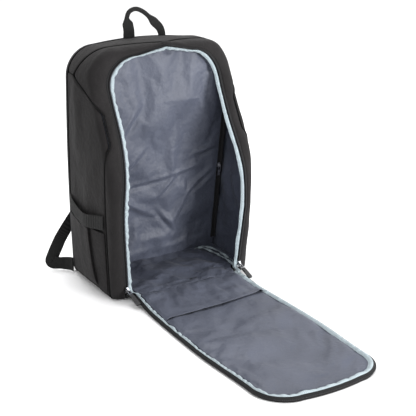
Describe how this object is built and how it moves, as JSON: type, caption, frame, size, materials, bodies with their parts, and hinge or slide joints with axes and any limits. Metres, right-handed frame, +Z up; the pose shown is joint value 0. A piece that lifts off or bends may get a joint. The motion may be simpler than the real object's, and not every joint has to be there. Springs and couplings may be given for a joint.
{
  "type": "travel backpack",
  "caption": "Upright travel backpack with a wide front flap laid open on the floor, lined interior, side pockets, grab handle and shoulder straps.",
  "frame": {"origin": "centre of the base's footprint, on the floor", "axes": "+Z up, -Y towards the opening and the flap, X across the bag"},
  "size_m": [0.3864, 0.69, 0.5205],
  "materials": {
    "outer_cloth": "woven",
    "back_cloth": "mesh",
    "foam": "soft",
    "base_cloth": "coated",
    "piping": "satin",
    "zip_tape": "ribbed",
    "binding": "satin",
    "lining": "slight sheen",
    "elastic": "ribbed",
    "webbing": "ribbed",
    "slider_metal": "polished",
    "small_metal": "polished",
    "pull_rubber": "matt",
    "buckle_plastic": "matt"
  },
  "bodies": {
    "bag": {"back_panel": "back_cloth", "back_padding": "foam", "side_panel_left": "outer_cloth", "side_panel_right": "outer_cloth", "top_panel": "outer_cloth", "base_panel": "base_cloth", "front_yoke": "outer_cloth", "front_piping": "piping", "back_piping": "piping", "opening_zip": "zip_tape", "opening_binding": "binding", "lining_shell": "lining", "lining_floor": "lining", "divider_face": "lining", "divider_padding": "foam", "inner_zip": "zip_tape", "flap_hinge": "lining", "side_pocket_left": "outer_cloth", "side_pocket_right": "outer_cloth", "pocket_elastic_left": "elastic", "pocket_elastic_right": "elastic", "strap_anchor_left": "webbing", "strap_anchor_right": "webbing"},
    "flap_lower": {"flap_outer_lower": "outer_cloth", "flap_lining_lower": "lining", "flap_padding_lower": "foam", "flap_zip_lower": "zip_tape", "flap_binding_lower": "binding", "slip_pocket": "lining"},
    "flap_upper": {"flap_outer_upper": "outer_cloth", "flap_lining_upper": "lining", "flap_padding_upper": "foam", "flap_zip_upper": "zip_tape", "flap_binding_upper": "binding"},
    "handle": {"grab_handle": "webbing"},
    "strap_left": {"strap_pad_left": "back_cloth", "strap_webbing_left": "webbing", "ladder_lock_left": "buckle_plastic"},
    "strap_right": {"strap_pad_right": "back_cloth", "strap_webbing_right": "webbing", "ladder_lock_right": "buckle_plastic"},
    "slider_left": {"zip_slider_left": "slider_metal"},
    "slider_right": {"zip_slider_right": "slider_metal"},
    "pull_left": {"zip_ring_left": "slider_metal", "zip_pull_left": "pull_rubber"},
    "pull_right": {"zip_ring_right": "slider_metal", "zip_pull_right": "pull_rubber"},
    "inner_slider": {"inner_zip_slider": "small_metal"},
    "inner_pull": {"inner_zip_pull": "small_metal"}
  },
  "joints": [
    {"name": "flap_lift", "type": "hinge", "parent": "bag", "child": "flap_lower", "pos_m": [0, -0.097, 0.018], "axis": [-1, 0, 0], "range_deg": [0, 90]},
    {"name": "flap_fold", "type": "hinge", "parent": "flap_lower", "child": "flap_upper", "pos_m": [0, -0.322, 0.0092], "axis": [-1, 0, 0], "range_deg": [0, 15.3]},
    {"name": "handle_swing", "type": "hinge", "parent": "bag", "child": "handle", "pos_m": [0.013, 0.075, 0.46715], "axis": [1, 0, 0], "range_deg": [-75, 75]},
    {"name": "strap_left_swing", "type": "hinge", "parent": "bag", "child": "strap_left", "pos_m": [-0.157, 0.09, 0.016], "axis": [0.1893, 0.021, 0.9817], "range_deg": [0, 25]},
    {"name": "strap_right_swing", "type": "hinge", "parent": "bag", "child": "strap_right", "pos_m": [0.157, 0.09, 0.016], "axis": [0.1893, -0.021, -0.9817], "range_deg": [0, 25]},
    {"name": "slider_left_slide", "type": "slide", "parent": "bag", "child": "slider_left", "axis": [-0.0721, -0.0797, 0.9942], "range_m": [0, 0.08]},
    {"name": "slider_right_slide", "type": "slide", "parent": "bag", "child": "slider_right", "axis": [0.0721, -0.0797, 0.9942], "range_m": [0, 0.08]},
    {"name": "pull_left_flip", "type": "hinge", "parent": "slider_left", "child": "pull_left", "pos_m": [-0.12515, -0.10002, 0.023], "axis": [-1, 0, 0], "range_deg": [0, 80]},
    {"name": "pull_right_flip", "type": "hinge", "parent": "slider_right", "child": "pull_right", "pos_m": [0.12515, -0.10002, 0.023], "axis": [-1, 0, 0], "range_deg": [0, 80]},
    {"name": "inner_slider_slide", "type": "slide", "parent": "bag", "child": "inner_slider", "axis": [0, -0.1386, 0.9903], "range_m": [-0.1537, 0.1298]},
    {"name": "inner_pull_flip", "type": "hinge", "parent": "inner_slider", "child": "inner_pull", "pos_m": [0.1406, 0.00329, 0.19937], "axis": [-1, 0, 0], "range_deg": [0, 100]}
  ],
  "couplings": [
    {"joint": "flap_fold", "follows": "flap_lift", "ratio": 0.17}
  ]
}
